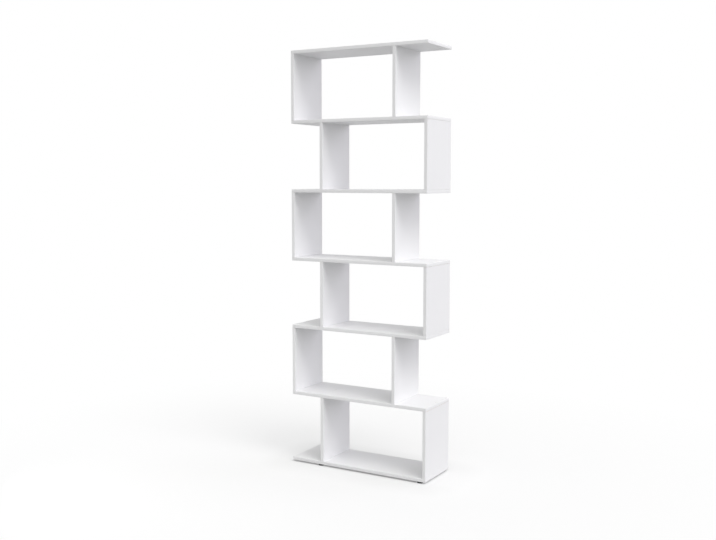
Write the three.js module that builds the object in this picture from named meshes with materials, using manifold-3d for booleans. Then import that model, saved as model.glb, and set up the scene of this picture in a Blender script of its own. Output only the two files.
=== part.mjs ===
// A zigzag bookshelf: seven boards joined by twelve uprights that step from side to side, tier by tier.
// Lengths are in millimetres. +Z is up and the front faces -Y.
// The origin is on the floor, midway along the width and the depth.

import * as THREE from 'three';
import { mergeVertices } from 'three/addons/utils/BufferGeometryUtils.js';
import Module from 'manifold-3d';

const wasm = await Module();
wasm.setup();

// Panels
const tierCount = 6;
const boardLength = 700;
const boardDepth = 240;
const boardThickness = 15;
const uprightThickness = 15;
const clearOpening = 302.5;      // clear height between two boards
const uprightInset = 155;        // from a board's end to the outer face of an inset upright
const edgeRadius = 0.8;          // rounding of the banded edges
const edgeSegments = 2;

// Clearances
const jointGap = 0.25;           // between faces that butt together
const holeClearance = 0.3;       // between a fastener and its hole, all round
const cutOverrun = 1;            // how far a cut runs past the face it opens

// Glued dowels, two at each end of an upright
const dowelDiameter = 8;
const dowelLength = 30;
const dowelSkin = 5.7;           // board left past the end of a dowel's blind hole
const dowelChamfer = 0.8;
const dowelEdgeInset = 40;       // from the panel's front or back edge to the dowel's axis
const dowelSides = 8;

// Connecting screws, one at each end of an upright
const screwLength = 50;
const screwHeadDiameter = 10;
const screwHeadRim = 0.8;
const screwHeadHeight = 3.6;
const screwShankDiameter = 7;
const screwCoreDiameter = 5;     // the threaded stretch at its mean size
const screwTipDiameter = 3;
const screwTipLength = 3;
const screwSocketDiameter = 4.6; // hexagon socket, across its corners
const screwSocketDepth = 2.5;
const screwSocketSides = 6;
const capSeatWidth = 1.5;        // ledge round the screw's head that a cover cap lies on
const capRecessDepth = 1.2;
const fastenerSides = 10;        // facets round a screw or a nail, and its hole

// Glides under the bottom board, each held by a nail
const glideDiameter = 26;
const glideHeight = 8;
const glideRounding = 1.5;
const glideSides = 24;
const glideMargin = 2;           // from the board's front or back edge to the glide's rim
const leftGlideSetOut = 5;       // from the inset upright's outer face to the glide's centre
const rightGlideSetIn = 18;      // from the end upright's inner face to the glide's centre
const nailHeadDiameter = 7;
const nailHeadThickness = 1;
const nailHeadRecess = 1.2;      // keeps the nail's head clear of the floor
const nailShankDiameter = 2.2;
const nailBite = 9;              // how far the nail stands into the board
const nailTipLength = 2;

// Lengths that follow from those above
const uprightHeight = clearOpening - 2 * jointGap;
const tierPitch = clearOpening + boardThickness;
const dowelReach = boardThickness - dowelSkin - holeClearance;
const screwGrip = screwLength - (boardThickness - capRecessDepth);
const dowelOffset = boardDepth / 2 - dowelEdgeInset;
const glideOffset = boardDepth / 2 - glideMargin - glideDiameter / 2;
const flushPlace = (boardLength - uprightThickness) / 2;
const insetPlace = flushPlace - uprightInset;

// Materials

function whiteMelamine() {
  return new THREE.MeshStandardMaterial({ color: '#f3f2f4', roughness: 0.42, metalness: 0 });
}

function zincPlatedSteel() {
  return new THREE.MeshStandardMaterial({ color: '#b9bcc0', roughness: 0.35, metalness: 0.9 });
}

function blackPlastic() {
  return new THREE.MeshStandardMaterial({ color: '#17171a', roughness: 0.55, metalness: 0 });
}

// Joining and cutting closed shapes

function solidFrom(geometry) {
  const bare = geometry.clone();
  bare.deleteAttribute('normal');
  bare.deleteAttribute('uv');
  const merged = mergeVertices(bare);
  const corners = merged.index.array;
  const kept = [];
  for (let first = 0; first < corners.length; first += 3) {
    const [a, b, c] = corners.slice(first, first + 3);
    if (a !== b && b !== c && c !== a) kept.push(a, b, c);
  }
  const vertProperties = new Float32Array(merged.attributes.position.array);
  const triVerts = new Uint32Array(kept);
  return new wasm.Manifold(new wasm.Mesh({ numProp: 3, vertProperties, triVerts }));
}

function geometryFrom(solid) {
  const { vertProperties, triVerts } = solid.getMesh();
  const geometry = new THREE.BufferGeometry();
  geometry.setAttribute('position', new THREE.BufferAttribute(vertProperties, 3));
  geometry.setIndex(new THREE.BufferAttribute(triVerts, 1));
  const faceted = geometry.toNonIndexed();
  faceted.computeVertexNormals();
  return faceted;
}

function cutFrom(solid, shapes) {
  return shapes.reduce((rest, shape) => rest.subtract(solidFrom(shape)), solid);
}

function joinTo(solid, shapes) {
  return shapes.reduce((whole, shape) => whole.add(solidFrom(shape)), solid);
}

// Basic shapes

// A turned shape about Z. Its outline runs anticlockwise as [radius, height] pairs.
function turned(outline, sides) {
  const points = outline.map(([radius, height]) => new THREE.Vector2(radius, height));
  return new THREE.LatheGeometry(points, sides).rotateX(Math.PI / 2);
}

function rod(radius, low, high, sides) {
  return turned([[0, low], [radius, low], [radius, high], [0, high]], sides);
}

// A board lies flat from z = 0 and is rounded along all its edges.
function boardBlank() {
  const halfLength = boardLength / 2 - edgeRadius;
  const halfDepth = boardDepth / 2 - edgeRadius;
  const outline = new THREE.Shape();
  outline.moveTo(-halfLength, -halfDepth);
  outline.lineTo(halfLength, -halfDepth);
  outline.lineTo(halfLength, halfDepth);
  outline.lineTo(-halfLength, halfDepth);
  outline.closePath();
  const blank = new THREE.ExtrudeGeometry(outline, {
    depth: boardThickness - 2 * edgeRadius,
    bevelThickness: edgeRadius,
    bevelSize: edgeRadius,
    bevelSegments: edgeSegments,
  });
  return blank.translate(0, 0, edgeRadius);
}

// An upright stands from z = 0. Its front and back edges are rounded and its ends are cut square.
function uprightBlank() {
  const x = uprightThickness / 2 - edgeRadius;
  const y = boardDepth / 2 - edgeRadius;
  const quarter = Math.PI / 2;
  const outline = new THREE.Shape();
  outline.absarc(x, y, edgeRadius, 0, quarter);
  outline.absarc(-x, y, edgeRadius, quarter, 2 * quarter);
  outline.absarc(-x, -y, edgeRadius, 2 * quarter, 3 * quarter);
  outline.absarc(x, -y, edgeRadius, 3 * quarter, 4 * quarter);
  outline.closePath();
  return new THREE.ExtrudeGeometry(outline, {
    depth: uprightHeight,
    bevelEnabled: false,
    curveSegments: edgeSegments,
  });
}

// Dowels and their holes

// A dowel along Z with both ends chamfered, from a low end at the given height.
function dowel(low) {
  const radius = dowelDiameter / 2;
  const high = low + dowelLength;
  return turned([
    [0, low],
    [radius - dowelChamfer, low],
    [radius, low + dowelChamfer],
    [radius, high - dowelChamfer],
    [radius - dowelChamfer, high],
    [0, high],
  ], dowelSides);
}

// Two blind holes in a board, up from its underside or down from its top face.
function dowelHoles(x, fromTop) {
  const radius = dowelDiameter / 2 + holeClearance;
  const depth = dowelReach + holeClearance;
  const low = fromTop ? boardThickness - depth : -cutOverrun;
  const high = fromTop ? boardThickness + cutOverrun : depth;
  return [-dowelOffset, dowelOffset].map(
    (y) => rod(radius, low, high, dowelSides).translate(x, y, 0));
}

// Connecting screws and their holes

// The screw points down from z = 0, which is the free face of the board it goes through.
function connectingScrew() {
  const head = screwHeadDiameter / 2;
  const shank = screwShankDiameter / 2;
  const core = screwCoreDiameter / 2;
  const top = -capRecessDepth;
  const tip = top - screwLength;
  const body = turned([
    [0, tip],
    [screwTipDiameter / 2, tip],
    [core, tip + screwTipLength],
    [core, -boardThickness],
    [shank, -boardThickness],
    [shank, top - screwHeadHeight],
    [head, top - screwHeadRim],
    [head, top],
    [0, top],
  ], fastenerSides);
  const socket = rod(screwSocketDiameter / 2, top - screwSocketDepth, top + cutOverrun, screwSocketSides);
  return geometryFrom(cutFrom(solidFrom(body), [socket]));
}

// The countersunk hole that the screw passes through, down from the board's free face at z = 0.
function screwHole() {
  const head = screwHeadDiameter / 2 + holeClearance;
  const shank = screwShankDiameter / 2 + holeClearance;
  const recess = screwHeadDiameter / 2 + capSeatWidth;
  return turned([
    [0, -boardThickness - cutOverrun],
    [shank, -boardThickness - cutOverrun],
    [shank, -capRecessDepth - screwHeadHeight],
    [head, -capRecessDepth - screwHeadRim],
    [head, -capRecessDepth],
    [recess, -capRecessDepth],
    [recess, cutOverrun],
    [0, cutOverrun],
  ], fastenerSides);
}

// Glides and their nails

function glidePad() {
  const rim = glideDiameter / 2;
  const seat = nailHeadDiameter / 2 + holeClearance;
  const hole = nailShankDiameter / 2 + holeClearance;
  const top = glideHeight - jointGap;
  const seatHeight = nailHeadRecess + nailHeadThickness + jointGap;
  return turned([
    [seat, 0],
    [rim - glideRounding, 0],
    [rim, glideRounding],
    [rim, top],
    [hole, top],
    [hole, seatHeight],
    [seat, seatHeight],
    [seat, 0],
  ], glideSides);
}

function glideNail() {
  const head = nailHeadDiameter / 2;
  const shank = nailShankDiameter / 2;
  const tip = glideHeight + nailBite;
  return turned([
    [0, nailHeadRecess],
    [head, nailHeadRecess],
    [head, nailHeadRecess + nailHeadThickness],
    [shank, nailHeadRecess + nailHeadThickness],
    [shank, tip - nailTipLength],
    [0, tip],
  ], fastenerSides);
}

function nailHole(x, y) {
  const radius = nailShankDiameter / 2 + holeClearance;
  return rod(radius, -cutOverrun, nailBite + holeClearance, fastenerSides).translate(x, y, 0);
}

// Layout

// Odd tiers, counted from the floor, have the left upright inset, and even tiers the right one.
function uprightPlaces(tier) {
  return tier % 2 === 1
    ? { left: -insetPlace, right: flushPlace }
    : { left: -flushPlace, right: insetPlace };
}

function glidePlaces() {
  const { left, right } = uprightPlaces(1);
  const leftX = left - uprightThickness / 2 - leftGlideSetOut;
  const rightX = right - uprightThickness / 2 - rightGlideSetIn;
  return [
    { name: 'front_left', x: leftX, y: -glideOffset },
    { name: 'front_right', x: rightX, y: -glideOffset },
    { name: 'back_left', x: leftX, y: glideOffset },
    { name: 'back_right', x: rightX, y: glideOffset },
  ];
}

// Board 0 is the bottom board, and board N closes tier N.
function boardBase(index) {
  return glideHeight + index * tierPitch;
}

function boardName(index) {
  if (index === 0) return 'bottom_board';
  return index === tierCount ? 'top_board' : `shelf_${index}`;
}

// Boards and uprights

function board(index) {
  const holes = [];
  if (index > 0) {
    for (const x of Object.values(uprightPlaces(index))) {
      holes.push(...dowelHoles(x, false));
      holes.push(screwHole().translate(x, 0, boardThickness));
    }
  }
  if (index < tierCount) {
    for (const x of Object.values(uprightPlaces(index + 1))) {
      holes.push(...dowelHoles(x, true));
      holes.push(screwHole().rotateX(Math.PI).translate(x, 0, 0));
    }
  }
  if (index === 0) {
    for (const { x, y } of glidePlaces()) holes.push(nailHole(x, y));
  }
  return geometryFrom(cutFrom(solidFrom(boardBlank()), holes));
}

function upright() {
  const lowDowel = -jointGap - dowelReach;
  const highDowel = uprightHeight + jointGap + dowelReach - dowelLength;
  const dowels = [];
  for (const y of [-dowelOffset, dowelOffset]) {
    dowels.push(dowel(lowDowel).translate(0, y, 0));
    dowels.push(dowel(highDowel).translate(0, y, 0));
  }
  const boreRadius = screwCoreDiameter / 2 + holeClearance;
  const boreDepth = screwGrip - jointGap + holeClearance;
  const bores = [
    rod(boreRadius, -cutOverrun, boreDepth, fastenerSides),
    rod(boreRadius, uprightHeight - boreDepth, uprightHeight + cutOverrun, fastenerSides),
  ];
  return geometryFrom(cutFrom(joinTo(solidFrom(uprightBlank()), dowels), bores));
}

// The whole bookshelf

const bookshelf = new THREE.Group();

function place(name, geometry, material, x, y, z) {
  const mesh = new THREE.Mesh(geometry, material);
  mesh.name = name;
  mesh.position.set(x, y, z);
  bookshelf.add(mesh);
  return mesh;
}

const melamine = whiteMelamine();
const steel = zincPlatedSteel();
const plastic = blackPlastic();

for (let index = 0; index <= tierCount; index += 1) {
  place(boardName(index), board(index), melamine, 0, 0, boardBase(index));
}

const uprightShape = upright();
const screwShape = connectingScrew();
for (let tier = 1; tier <= tierCount; tier += 1) {
  const lowerFace = boardBase(tier - 1);
  const upperFace = boardBase(tier) + boardThickness;
  for (const [side, x] of Object.entries(uprightPlaces(tier))) {
    const name = `tier_${tier}_${side}`;
    place(`${name}_upright`, uprightShape, melamine, x, 0, lowerFace + boardThickness + jointGap);
    place(`${name}_upper_screw`, screwShape, steel, x, 0, upperFace);
    const lowerScrew = place(`${name}_lower_screw`, screwShape, steel, x, 0, lowerFace);
    lowerScrew.rotation.x = Math.PI;
  }
}

for (const { name, x, y } of glidePlaces()) {
  place(`glide_${name}`, glidePad(), plastic, x, y, 0);
  place(`glide_nail_${name}`, glideNail(), steel, x, y, 0);
}

export default bookshelf;
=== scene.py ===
# The looks of a zigzag bookshelf in white melamine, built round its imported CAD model.
# Lengths are in metres and angles in degrees. +Z is up and the front faces -Y.

import math

import bmesh
import bpy
from mathutils import Matrix, Vector


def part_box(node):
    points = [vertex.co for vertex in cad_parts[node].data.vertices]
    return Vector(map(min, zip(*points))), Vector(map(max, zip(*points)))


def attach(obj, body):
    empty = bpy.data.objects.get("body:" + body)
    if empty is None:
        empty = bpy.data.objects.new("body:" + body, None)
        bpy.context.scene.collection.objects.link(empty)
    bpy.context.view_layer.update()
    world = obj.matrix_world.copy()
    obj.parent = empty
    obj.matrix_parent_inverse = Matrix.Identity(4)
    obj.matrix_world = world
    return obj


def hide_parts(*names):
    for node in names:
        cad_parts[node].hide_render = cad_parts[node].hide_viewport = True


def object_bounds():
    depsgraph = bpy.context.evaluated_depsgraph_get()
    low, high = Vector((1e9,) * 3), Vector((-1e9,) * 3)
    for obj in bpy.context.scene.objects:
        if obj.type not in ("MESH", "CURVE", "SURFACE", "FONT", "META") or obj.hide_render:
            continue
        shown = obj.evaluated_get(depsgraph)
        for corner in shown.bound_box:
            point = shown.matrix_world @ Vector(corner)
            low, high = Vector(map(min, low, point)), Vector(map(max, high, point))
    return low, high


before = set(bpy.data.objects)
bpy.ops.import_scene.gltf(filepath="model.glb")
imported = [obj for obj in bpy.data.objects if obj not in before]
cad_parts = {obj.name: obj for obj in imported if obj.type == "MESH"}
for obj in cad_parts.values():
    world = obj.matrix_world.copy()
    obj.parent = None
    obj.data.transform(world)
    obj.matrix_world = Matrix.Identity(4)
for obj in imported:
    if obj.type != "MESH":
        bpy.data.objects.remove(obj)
cad_low, cad_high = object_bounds()

# Camera
CAMERA_PLACE = (2.135, -3.762, 1.334)
CAMERA_AZIMUTH = 30.29          # to the right of the shelf's front
CAMERA_PITCH = 5.00             # below the horizon
CAMERA_LENS = 47.38
CAMERA_SHIFT = -0.01            # share of the picture's width
LEVEL = 90                      # turns a camera from looking down to looking ahead

# Panels
TIERS = 6
SIDES = ("left", "right")
JOINT_GAP = 0.00025             # between an upright's end and the board it meets
EDGING_THICKNESS = 0.001
EDGING_ROUNDING = 0.0008
EDGING_ROUND_STEPS = 4
SEAM_WIDTH = 0.00012            # groove between a panel's paper and its edging
SEAM_STEPS = 1                  # the groove's sides are flat
NEAR = 0.00001                  # places nearer than this are one place
ACROSS, DEEP, UP = range(3)     # the axes, as indices

# Countersunk screw holes: radii, and depths below the board's free face
CAP_RECESS_RADIUS = 0.0065
CAP_RECESS_DEPTH = 0.0012
HEAD_HOLE_RADIUS = 0.0053
HEAD_RIM_DEPTH = 0.002
SHANK_HOLE_RADIUS = 0.0038
SHANK_HOLE_DEPTH = 0.0048

# Blind holes: radius and depth
THREAD_BORE = (0.0028, 0.03625)
NAIL_HOLE = (0.0014, 0.0093)
DOWEL_HOLE = (0.0043, 0.0093)   # in a board
DOWEL_SEAT = (0.00405, 0.021)   # in an upright's end
TURNED_SIDES = 48
TURN_START = 10                 # keeps a hole's corners off the board's own directions

# Dowels: two at each end of an upright. Their outline is (radius, height above the dowel's foot)
DOWEL_OFFSET = 0.08             # from the middle of the upright's depth
DOWEL_LENGTH = 0.03
DOWEL_RADIUS = 0.004
DOWEL_CHAMFER = 0.0008
DOWEL_OUTLINE = (
    (0, 0),
    (DOWEL_RADIUS - DOWEL_CHAMFER, 0),
    (DOWEL_RADIUS, DOWEL_CHAMFER),
    (DOWEL_RADIUS, DOWEL_LENGTH - DOWEL_CHAMFER),
    (DOWEL_RADIUS - DOWEL_CHAMFER, DOWEL_LENGTH),
    (0, DOWEL_LENGTH),
)

# Cover caps: (radius, depth below the board's free face), from the crown to the peg's tip
CAP_OUTLINE = (
    (0, 0.00008),
    (0.0040, 0.0001),
    (0.0059, 0.00016),
    (0.00625, 0.00022),
    (0.0064, 0.00034),
    (0.00644, 0.0005),
    (0.00644, 0.00105),
    (0.00632, 0.00118),
    (0.0019, 0.00118),
    (0.0019, 0.0030),
    (0.0015, 0.0034),
    (0, 0.0034),
)

# Glides: (radius, height above the floor), once round the section of the ring
GLIDE_OUTLINE = (
    (0.0014, 0.00245),
    (0.0038, 0.00245),
    (0.0038, 0.0006),
    (0.0042, 0.0002),
    (0.0050, 0),
    (0.0066, 0),
    (0.0070, 0.0003),
    (0.0076, 0.0003),
    (0.0080, 0),
    (0.0108, 0),
    (0.0118, 0.00022),
    (0.0126, 0.0008),
    (0.0130, 0.0016),
    (0.0130, 0.0048),
    (0.01285, 0.0049),
    (0.0130, 0.0050),
    (0.0130, 0.0072),
    (0.0127, 0.0076),
    (0.0122, 0.00775),
    (0.0014, 0.00775),
)

# Shading
FLAT = 0.99999                  # a face this square to an axis is shaded flat
CREASE = 35                     # edges sharper than this stay crisp

# Finishes: colours, the least and greatest roughness, and the sizes of their patterns
PAPER = ((0.789, 0.788, 0.796, 1), (0.804, 0.803, 0.811, 1))
PAPER_ROUGHNESS = (0.50, 0.58)
EDGING = ((0.785, 0.784, 0.790, 1), (0.800, 0.799, 0.806, 1))
EDGING_ROUGHNESS = (0.38, 0.48)
CHIPBOARD = ((0.36, 0.25, 0.15, 1), (0.66, 0.52, 0.35, 1))
CHIPBOARD_ROUGHNESS = (0.80, 0.95)
CAP_PLASTIC = ((0.779, 0.779, 0.787, 1), (0.796, 0.796, 0.804, 1))
CAP_ROUGHNESS = (0.42, 0.50)
ZINC = ((0.60, 0.62, 0.66, 1), (0.67, 0.66, 0.62, 1))
ZINC_ROUGHNESS = (0.22, 0.42)
BLACK_PLASTIC = ((0.010, 0.010, 0.011, 1), (0.017, 0.017, 0.018, 1))
BLACK_ROUGHNESS = (0.42, 0.58)
BEECH = ((0.50, 0.33, 0.19, 1), (0.68, 0.50, 0.32, 1))
BEECH_ROUGHNESS = (0.55, 0.70)
CLOUD_SIZE = 0.15               # soft clouds of tone
SHEEN_SIZE = 0.017              # patches of more and less sheen
WAVE_SIZE = 0.045               # swell that the chips press through the paper
WAVE_SHARE = 2.0                # the swell's height, in pearl grains
PEARL_SIZE = 0.0008
PEARL_STRENGTH = 0.35
PEARL_DEPTH = 0.00004
LINE_WIDTH = 0.0004             # lines drawn along the edging as it was extruded
LINE_LENGTH = 0.06
LINE_STRENGTH = 0.25
LINE_DEPTH = 0.00003
CHIP_SIZE = 0.0022
CHIP_STRENGTH = 0.6
CHIP_DEPTH = 0.0002
GRAIN_SIZE = 0.0003             # fine grain of moulded plastic and plated steel
GRAIN_STRENGTH = 0.3
GRAIN_DEPTH = 0.00003
STAIN_SIZE = 0.004              # tone of the plating
FIBRE_WIDTH = 0.0005            # fibres of the beech, up the dowels
FIBRE_LENGTH = 0.012
FIBRE_STRENGTH = 0.3
FIBRE_DEPTH = 0.00003

# Far lamps: azimuth and elevation, width of the light, strength and colour
FAR_LAMPS = {
    "key_lamp": (72, 50, 30, 1.02, (1.0, 1.0, 0.98)),
    "high_lamp": (50, 65, 25, 0.29, (0.98, 0.97, 1.0)),
    "front_lamp": (40, 35, 80, 0.83, (0.98, 0.97, 1.0)),
    "back_lamp": (130, 20, 40, 0.72, (0.90, 0.87, 1.0)),
}

# Side lamp: low and near, to the left of the front
SIDE_LAMP_PLACE = (-1.03, -1.22, 0.38)
SIDE_LAMP_AIM = (0, 0, 0.3)
SIDE_LAMP_WIDTH = 0.9
SIDE_LAMP_POWER = 1.7

ROOM_LIGHT = (0.568, 0.573, 0.559, 1)
WHITE = (1.0, 1.0, 1.0, 1)

# Floor
FLOOR_REACH = 14.0
FLOOR_LIT = ((0.50, 0.50, 0.50, 1), (0.42, 0.42, 0.42, 1))  # gives back, by the shelf and off
LIT_FADING = (0.03, 0.15)           # distances between which it goes from one to the other
FLOOR_SEEN = (0.84, 0.84, 0.84, 1)  # what it looks like, in light and in the shelf's shadow
FLOOR_GLOW_WITH_SHADE = ((0.90, 0.90, 0.90, 1), (1.0, 1.0, 1.0, 1))    # mixed in, dimmer beside the shelf (painted shade) and white off
GLOW_SHARES = (0.2, 0.55, 1)        # how much is mixed in: under the shelf, near it and far off
GLOW_SHADE_FADING = (0, 0.17)             # distances between which the glow's painted shade beside the shelf fades to plain white
GLOW_NEAR = (0, 0.02)               # and between which its first share goes to the second
GLOW_FAR = (0.33, 1.8)              # and the second to the third


# Node trees

class Signal:
    """A node's output. Python's operators on it add Math nodes."""

    def __init__(self, tree, socket):
        self.tree = tree
        self.socket = socket

    def reckon(self, operation, first, second):
        return self.tree.add("ShaderNodeMath", {"operation": operation}, {0: first, 1: second})

    def __add__(self, other):
        return self.reckon("ADD", self, other)

    def __radd__(self, other):
        return self.reckon("ADD", other, self)

    def __mul__(self, other):
        return self.reckon("MULTIPLY", self, other)

    def __rmul__(self, other):
        return self.reckon("MULTIPLY", other, self)


class Tree:
    """The nodes of a material or of the world."""

    def __init__(self, owner):
        owner.use_nodes = True
        self.nodes = owner.node_tree.nodes
        self.links = owner.node_tree.links
        self.nodes.clear()

    def add(self, kind, settings=None, inputs=None, output=0):
        """Adds a node: its settings first, then its inputs. Returns one of its outputs."""
        node = self.nodes.new(kind)
        for name, value in (settings or {}).items():
            setattr(node, name, value)
        for name, value in (inputs or {}).items():
            if isinstance(value, Signal):
                self.links.new(value.socket, node.inputs[name])
            else:
                node.inputs[name].default_value = value
        return Signal(self, node.outputs[output]) if node.outputs else node


def place_on_object(tree):
    return tree.add("ShaderNodeTexCoord", output="Object")


def stretched(tree, place, scale):
    inputs = {"Vector": place, "Scale": scale}
    return tree.add("ShaderNodeMapping", {"vector_type": "POINT"}, inputs)


def noise(tree, place, size):
    """Noise from 0 to 1, with patches of about that size."""
    return tree.add("ShaderNodeTexNoise", None, {"Vector": place, "Scale": 1 / size})


def flakes(tree, place, size):
    """A random shade for each flake of about that size."""
    inputs = {"Vector": place, "Scale": 1 / size}
    return tree.add("ShaderNodeTexVoronoi", {"feature": "F1"}, inputs, output="Color")


def between(tree, value, bounds, span=(0, 1)):
    """A number that goes from one bound to the other as value goes through a span."""
    inputs = {
        "Value": value, "From Min": span[0], "From Max": span[1],
        "To Min": bounds[0], "To Max": bounds[1]}
    return tree.add("ShaderNodeMapRange", {"clamp": True}, inputs)


def toned(tree, share, colours):
    """A colour that goes from one to the other as share goes from 0 to 1."""
    inputs = {"Factor": share, "A": colours[0], "B": colours[1]}
    return tree.add("ShaderNodeMix", {"data_type": "RGBA"}, inputs, output="Result")


def relief(tree, height, strength, depth):
    inputs = {"Height": height, "Strength": strength, "Distance": depth}
    return tree.add("ShaderNodeBump", None, inputs)


# Finishes

def finish(name, look):
    """A material whose shader gets the inputs that look(tree, place) returns."""
    material = bpy.data.materials.new(name)
    tree = Tree(material)
    shader = tree.add("ShaderNodeBsdfPrincipled", None, look(tree, place_on_object(tree)))
    tree.add("ShaderNodeOutputMaterial", None, {"Surface": shader})
    return material


def melamine_paper(tree, place):
    """White resin-soaked paper: faint clouds of tone and a fine pearl grain."""
    height = noise(tree, place, PEARL_SIZE) + noise(tree, place, WAVE_SIZE) * WAVE_SHARE
    return {
        "Base Color": toned(tree, noise(tree, place, CLOUD_SIZE), PAPER),
        "Roughness": between(tree, noise(tree, place, SHEEN_SIZE), PAPER_ROUGHNESS),
        "Normal": relief(tree, height, PEARL_STRENGTH, PEARL_DEPTH),
    }


def drawn_edging(axis):
    """Extruded white plastic, with fine lines along the strip."""
    scale = [1 / LINE_WIDTH] * 3
    scale[axis] = 1 / LINE_LENGTH

    def look(tree, place):
        lines = noise(tree, stretched(tree, place, scale), 1)
        return {
            "Base Color": toned(tree, noise(tree, place, CLOUD_SIZE), EDGING),
            "Roughness": between(tree, lines, EDGING_ROUGHNESS),
            "Normal": relief(tree, lines, LINE_STRENGTH, LINE_DEPTH),
        }
    return look


def raw_chipboard(tree, place):
    chips = flakes(tree, place, CHIP_SIZE)
    return {
        "Base Color": toned(tree, chips, CHIPBOARD),
        "Roughness": between(tree, chips, CHIPBOARD_ROUGHNESS),
        "Normal": relief(tree, chips, CHIP_STRENGTH, CHIP_DEPTH),
    }


def beech_wood(tree, place):
    scale = (1 / FIBRE_WIDTH, 1 / FIBRE_WIDTH, 1 / FIBRE_LENGTH)
    fibres = noise(tree, stretched(tree, place, scale), 1)
    return {
        "Base Color": toned(tree, fibres, BEECH),
        "Roughness": between(tree, fibres, BEECH_ROUGHNESS),
        "Normal": relief(tree, fibres, FIBRE_STRENGTH, FIBRE_DEPTH),
    }


def fine_grained(colours, roughness, tone_size):
    """Moulded plastic or plated steel: a tone that varies a little under a fine grain."""
    def look(tree, place):
        grain = noise(tree, place, GRAIN_SIZE)
        return {
            "Base Color": toned(tree, noise(tree, place, tone_size), colours),
            "Roughness": between(tree, grain, roughness),
            "Normal": relief(tree, grain, GRAIN_STRENGTH, GRAIN_DEPTH),
        }
    return look


def zinc_plating(tree, place):
    return {"Metallic": 1.0, **fine_grained(ZINC, ZINC_ROUGHNESS, STAIN_SIZE)(tree, place)}


# Shapes

def add_box(bm, low, high):
    """A box between two corners. Returns its edges."""
    placed = Matrix.Translation((low + high) / 2) @ Matrix.Diagonal((*(high - low), 1))
    corners = set(bmesh.ops.create_cube(bm, size=1, matrix=placed)["verts"])
    return [edge for edge in bm.edges if corners.issuperset(edge.verts)]


def round_edges(bm, edges, radius, steps):
    bmesh.ops.bevel(
        bm, geom=edges, offset=radius, segments=steps, profile=0.5, affect="EDGES", material=-1)


def lies_at(edge, axis, place):
    return all(abs(vert.co[axis] - place) < NEAR for vert in edge.verts)


def add_strip(bm, low, high, square_sides):
    """A strip of edging, rounded along its edges but for those of its square sides."""
    edges = add_box(bm, low, high)
    rounded = [edge for edge in edges if not any(lies_at(edge, *side) for side in square_sides)]
    round_edges(bm, rounded, EDGING_ROUNDING, EDGING_ROUND_STEPS)


def add_turned(bm, centre, outline):
    """Turns an outline of (radius, height) pairs about the vertical line through centre."""
    angle = math.radians(TURN_START)
    outward = Vector((math.cos(angle), math.sin(angle)))
    verts = [
        bm.verts.new((*(centre.xy + outward * radius), height)) for radius, height in outline]
    edges = [bm.edges.new(pair) for pair in zip(verts, verts[1:])]
    bmesh.ops.spin(
        bm, geom=verts + edges, cent=centre, axis=(0, 0, 1), angle=math.tau,
        steps=TURNED_SIDES, use_merge=True)


def close_level(bm, height):
    """Fills the open edges at one height with a flat sheet that leaves the holes open."""
    rim = [edge for edge in bm.edges if edge.is_boundary and lies_at(edge, UP, height)]
    bmesh.ops.triangle_fill(bm, edges=rim, use_beauty=True)


def add_piece(name, bm, finishes, slot, *nodes):
    """Makes the object of a finished bmesh. It rides on the shelf's one body."""
    bmesh.ops.remove_doubles(bm, verts=bm.verts, dist=NEAR)
    bmesh.ops.recalc_face_normals(bm, faces=bm.faces)
    if bm.calc_volume(signed=True) < 0:
        bmesh.ops.reverse_faces(bm, faces=bm.faces)
    for face in bm.faces:
        face.smooth = max(abs(share) for share in face.normal) < FLAT
    mesh = bpy.data.meshes.new(name)
    bm.to_mesh(mesh)
    bm.free()
    mesh.set_sharp_from_angle(angle=math.radians(CREASE))
    for material in finishes:
        mesh.materials.append(material)
    piece = bpy.data.objects.new(name, mesh)
    bpy.context.scene.collection.objects.link(piece)
    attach(piece, "root")
    if nodes:
        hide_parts(*nodes)


# Holes

def screw_hole(free_face, far_face):
    """The outline of a countersunk hole through a board, from the face that its cap lies in."""
    way = -1 if free_face > far_face else 1
    return (
        (CAP_RECESS_RADIUS, free_face),
        (CAP_RECESS_RADIUS, free_face + way * CAP_RECESS_DEPTH),
        (HEAD_HOLE_RADIUS, free_face + way * CAP_RECESS_DEPTH),
        (HEAD_HOLE_RADIUS, free_face + way * HEAD_RIM_DEPTH),
        (SHANK_HOLE_RADIUS, free_face + way * SHANK_HOLE_DEPTH),
        (SHANK_HOLE_RADIUS, far_face),
    )


def blind_hole(mouth, way, radius, depth):
    """The outline of a plain hole that goes up or down from its mouth."""
    end = mouth + way * depth
    return ((radius, mouth), (radius, end), (0, end))


# Layout

def board_name(index):
    if index == 0:
        return "bottom_board"
    return "top_board" if index == TIERS else f"shelf_{index}"


def uprights_of(tier):
    return [f"tier_{tier}_{side}" for side in SIDES]


def centre_of(node):
    low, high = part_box(node)
    return (low + high) / 2


def dowel_places(centre):
    """Where an upright's dowels stand, before and behind its centre."""
    return [centre + Vector((0, offset, 0)) for offset in (-DOWEL_OFFSET, DOWEL_OFFSET)]


def joint_holes(tier, free_face, far_face):
    """A board's holes for a tier's uprights, which meet its far face, each with its centre."""
    way = 1 if free_face > far_face else -1
    for name in uprights_of(tier):
        centre = centre_of(f"{name}_upright")
        yield centre, screw_hole(free_face, far_face)
        for place in dowel_places(centre):
            yield place, blind_hole(far_face, way, *DOWEL_HOLE)


# Panels

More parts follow.
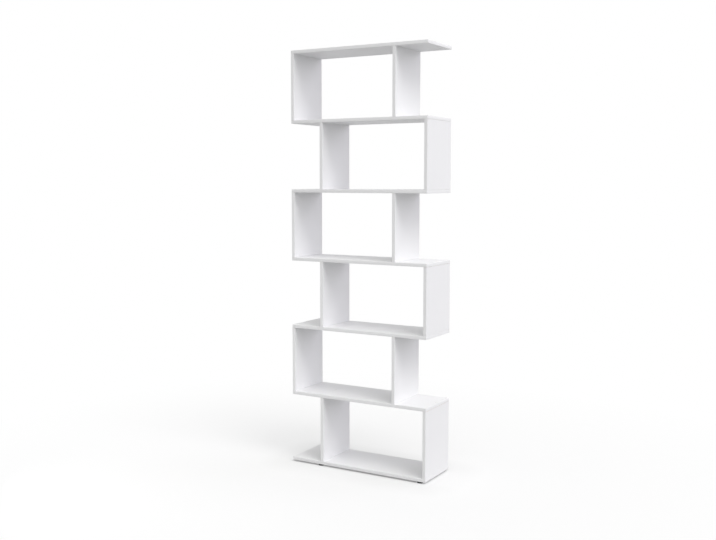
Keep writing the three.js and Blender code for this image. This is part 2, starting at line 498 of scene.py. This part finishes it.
def add_drilled_panel(name, low, high, papered_axis, holes, node):
    """A papered chipboard panel between two corners, with its turned holes."""
    bm = bmesh.new()
    round_edges(bm, add_box(bm, low, high), SEAM_WIDTH, SEAM_STEPS)
    flat = [face for face in bm.faces if abs(face.normal.z) > FLAT]
    bmesh.ops.delete(bm, geom=flat, context="FACES_ONLY")
    for centre, outline in holes:
        add_turned(bm, centre, outline)
    bmesh.ops.remove_doubles(bm, verts=bm.verts, dist=NEAR)
    for height in (low.z, high.z):
        close_level(bm, height)
    for face in bm.faces:
        place = face.calc_center_median()[papered_axis]
        buried = min(place - low[papered_axis], high[papered_axis] - place)
        face.material_index = 0 if buried < SEAM_WIDTH else 1
    add_piece(name, bm, [paper, chipboard], "white_melamine", node)


def edging_slices(low, high, axis):
    """The two slices that the edging takes from a panel along an axis, each with its hidden side."""
    for near_side in (True, False):
        first, last = low.copy(), high.copy()
        if near_side:
            last[axis] = low[axis] + EDGING_THICKNESS
        else:
            first[axis] = high[axis] - EDGING_THICKNESS
        yield first, last, (axis, last[axis] if near_side else first[axis])


def add_board(index):
    name = board_name(index)
    low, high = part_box(name)
    holes = []
    if index > 0:
        holes += joint_holes(index, high.z, low.z)
    if index < TIERS:
        holes += joint_holes(index + 1, low.z, high.z)
    if index == 0:
        holes += [(centre_of(nail), blind_hole(low.z, 1, *NAIL_HOLE)) for nail in nails]
    margin = Vector((EDGING_THICKNESS, EDGING_THICKNESS, 0))
    add_drilled_panel(f"{name}_panel", low + margin, high - margin, UP, holes, name)
    add_board_edging(f"{name}_edging", low, high, name)


def add_board_edging(name, low, high, node):
    """The front and back strips cover the ends of the two side strips."""
    bm = bmesh.new()
    for first, last, hidden_side in edging_slices(low, high, DEEP):
        add_strip(bm, first, last, [hidden_side])
    margin = Vector((0, EDGING_THICKNESS + SEAM_WIDTH, 0))
    low, high = low + margin, high - margin
    for first, last, hidden_side in edging_slices(low, high, ACROSS):
        add_strip(bm, first, last, [hidden_side, (DEEP, low.y), (DEEP, high.y)])
    for face in bm.faces:
        face.material_index = 1 if low.y < face.calc_center_median().y < high.y else 0
    add_piece(name, bm, [edging_across, edging_deep], "white_melamine", node)


def add_upright(tier, name):
    node = f"{name}_upright"
    low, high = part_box(node)
    low.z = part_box(board_name(tier - 1))[1].z + JOINT_GAP
    high.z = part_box(board_name(tier))[0].z - JOINT_GAP
    centre = (low + high) / 2
    bores = []
    for mouth, way in ((low.z, 1), (high.z, -1)):
        bores.append((centre, blind_hole(mouth, way, *THREAD_BORE)))
        bores += [(place, blind_hole(mouth, way, *DOWEL_SEAT)) for place in dowel_places(centre)]
    margin = Vector((0, EDGING_THICKNESS, 0))
    add_drilled_panel(f"{name}_panel", low + margin, high - margin, ACROSS, bores, node)
    bm = bmesh.new()
    for first, last, hidden_side in edging_slices(low, high, DEEP):
        add_strip(bm, first, last, [hidden_side, (UP, low.z), (UP, high.z)])
    add_piece(f"{name}_edging", bm, [edging_up], "white_melamine", node)


# Small parts

def add_dowels(name):
    """The four dowels of an upright. Its node reaches from their lowest ends to their highest."""
    node = f"{name}_upright"
    low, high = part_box(node)
    bm = bmesh.new()
    for place in dowel_places(centre_of(node)):
        for foot in (low.z, high.z - DOWEL_LENGTH):
            add_turned(bm, place, [(radius, foot + height) for radius, height in DOWEL_OUTLINE])
    add_piece(f"{name}_dowels", bm, [beech], "white_melamine", node)


def add_cap(name, centre, free_face, way):
    """A cover cap in a board's free face, with its peg in the screw's socket."""
    bm = bmesh.new()
    add_turned(bm, centre, [(radius, free_face - way * depth) for radius, depth in CAP_OUTLINE])
    add_piece(name, bm, [cap_plastic], "white_melamine")


def add_caps(tier, name):
    centre = centre_of(f"{name}_upright")
    lower_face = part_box(board_name(tier - 1))[0].z
    upper_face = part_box(board_name(tier))[1].z
    add_cap(f"{name}_lower_cap", centre, lower_face, -1)
    add_cap(f"{name}_upper_cap", centre, upper_face, 1)


def add_glide(node):
    bm = bmesh.new()
    add_turned(bm, centre_of(node), (*GLIDE_OUTLINE, GLIDE_OUTLINE[0]))
    add_piece(f"{node}_moulding", bm, [black_plastic], "black_plastic", node)


# Stage

def seen_as_backdrop(tree):
    """1 for a ray from the camera or off a shiny surface, and 0 for one that carries light."""
    rays = "ShaderNodeLightPath"
    straight = tree.add(rays, output="Is Camera Ray")
    mirrored = tree.add(rays, output="Is Glossy Ray")
    return straight + mirrored + tree.add(rays, output="Is Transmission Ray")


def distance_from_shelf(tree):
    """How far a point of the floor lies outside the shelf's outline."""
    vector_math = "ShaderNodeVectorMath"
    mirrored = tree.add(vector_math, {"operation": "ABSOLUTE"}, {0: place_on_object(tree)})
    corner = (cad_high.x, cad_high.y, 0)
    past = tree.add(vector_math, {"operation": "SUBTRACT"}, {0: mirrored, 1: corner})
    outside = tree.add(vector_math, {"operation": "MAXIMUM"}, {0: past, 1: (0, 0, 0)})
    return tree.add(vector_math, {"operation": "LENGTH"}, {0: outside}, output="Value")


def pale_floor():
    """Seen as pale, with the shelf's shadow and a painted shade beside it, and as plain white
    further off.

    The light that it gives back to the shelf is dimmer, and a little brighter beside the shelf.
    """
    material = bpy.data.materials.new("pale_floor")
    tree = Tree(material)
    away = distance_from_shelf(tree)
    under, near, far = GLOW_SHARES
    share = between(tree, away, (under, near), GLOW_NEAR) + between(
        tree, away, (0, far - near), GLOW_FAR)
    # The glow lightens the shelf's shadow on the floor. Beside the shelf it is dimmer: painted shade
    # round the shelf's foot.
    tone = toned(tree, between(tree, away, (0, 1), GLOW_SHADE_FADING), FLOOR_GLOW_WITH_SHADE)
    given = toned(tree, between(tree, away, (0, 1), LIT_FADING), FLOOR_LIT)
    lit = tree.add("ShaderNodeBsdfDiffuse", None, {"Color": given})
    pale = tree.add("ShaderNodeBsdfDiffuse", None, {"Color": FLOOR_SEEN})
    glow = tree.add("ShaderNodeEmission", None, {"Color": tone})
    seen = tree.add("ShaderNodeMixShader", None, {0: share, 1: pale, 2: glow})
    both = tree.add("ShaderNodeMixShader", None, {0: seen_as_backdrop(tree), 1: lit, 2: seen})
    tree.add("ShaderNodeOutputMaterial", None, {"Surface": both})
    return material


def add_floor():
    bm = bmesh.new()
    bmesh.ops.create_grid(bm, x_segments=1, y_segments=1, size=FLOOR_REACH)
    mesh = bpy.data.meshes.new("floor")
    bm.to_mesh(mesh)
    bm.free()
    mesh.materials.append(pale_floor())
    floor = bpy.data.objects.new("floor", mesh)
    bpy.context.scene.collection.objects.link(floor)


def add_far_lamp(name, azimuth, elevation, width, strength, tint):
    """A broad lamp so far off that it lights the shelf evenly from top to bottom."""
    lamp = bpy.data.lights.new(name, "SUN")
    lamp.angle = math.radians(width)
    lamp.energy = strength
    lamp.color = tint
    holder = bpy.data.objects.new(name, lamp)
    holder.rotation_euler = (math.radians(LEVEL - elevation), 0, math.radians(azimuth))
    bpy.context.scene.collection.objects.link(holder)


def add_side_lamp():
    lamp = bpy.data.lights.new("side_lamp", "AREA")
    lamp.shape = "DISK"
    lamp.size = SIDE_LAMP_WIDTH
    lamp.energy = SIDE_LAMP_POWER
    holder = bpy.data.objects.new("side_lamp", lamp)
    holder.location = SIDE_LAMP_PLACE
    away = Vector(SIDE_LAMP_PLACE) - Vector(SIDE_LAMP_AIM)
    holder.rotation_euler = away.to_track_quat("Z", "Y").to_euler()
    holder.visible_camera = False
    bpy.context.scene.collection.objects.link(holder)


def light_room():
    world = bpy.data.worlds.new("studio")
    bpy.context.scene.world = world
    tree = Tree(world)
    room = tree.add("ShaderNodeBackground", None, {"Color": ROOM_LIGHT})
    white = tree.add("ShaderNodeBackground", None, {"Color": WHITE})
    both = tree.add("ShaderNodeMixShader", None, {0: seen_as_backdrop(tree), 1: room, 2: white})
    tree.add("ShaderNodeOutputWorld", None, {"Surface": both})


def add_camera():
    lens = bpy.data.cameras.new("camera")
    lens.lens = CAMERA_LENS
    lens.shift_y = CAMERA_SHIFT
    camera = bpy.data.objects.new("camera", lens)
    camera.location = CAMERA_PLACE
    camera.rotation_euler = (math.radians(LEVEL - CAMERA_PITCH), 0, math.radians(CAMERA_AZIMUTH))
    bpy.context.scene.collection.objects.link(camera)
    bpy.context.scene.camera = camera


# The whole bookshelf

add_camera()

paper = finish("melamine_paper", melamine_paper)
edging_across = finish("edging_across", drawn_edging(ACROSS))
edging_deep = finish("edging_deep", drawn_edging(DEEP))
edging_up = finish("edging_up", drawn_edging(UP))
chipboard = finish("raw_chipboard", raw_chipboard)
cap_plastic = finish("cap_plastic", fine_grained(CAP_PLASTIC, CAP_ROUGHNESS, CLOUD_SIZE))
beech = finish("beech_wood", beech_wood)
zinc = finish("zinc_plating", zinc_plating)
black_plastic = finish("black_plastic", fine_grained(BLACK_PLASTIC, BLACK_ROUGHNESS, STAIN_SIZE))

screws = [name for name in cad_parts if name.endswith("_screw")]
nails = [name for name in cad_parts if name.startswith("glide_nail_")]
glides = [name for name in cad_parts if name.startswith("glide_") and name not in nails]

for index in range(TIERS + 1):
    add_board(index)
for tier in range(1, TIERS + 1):
    for name in uprights_of(tier):
        add_upright(tier, name)
        add_dowels(name)
        add_caps(tier, name)
for name in glides:
    add_glide(name)
for name in screws + nails:
    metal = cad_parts[name].data.materials
    metal.clear()
    metal.append(zinc)

add_floor()
light_room()
add_side_lamp()
for name, lamp in FAR_LAMPS.items():
    add_far_lamp(name, *lamp)
bpy.context.scene.view_settings.view_transform = "Standard"
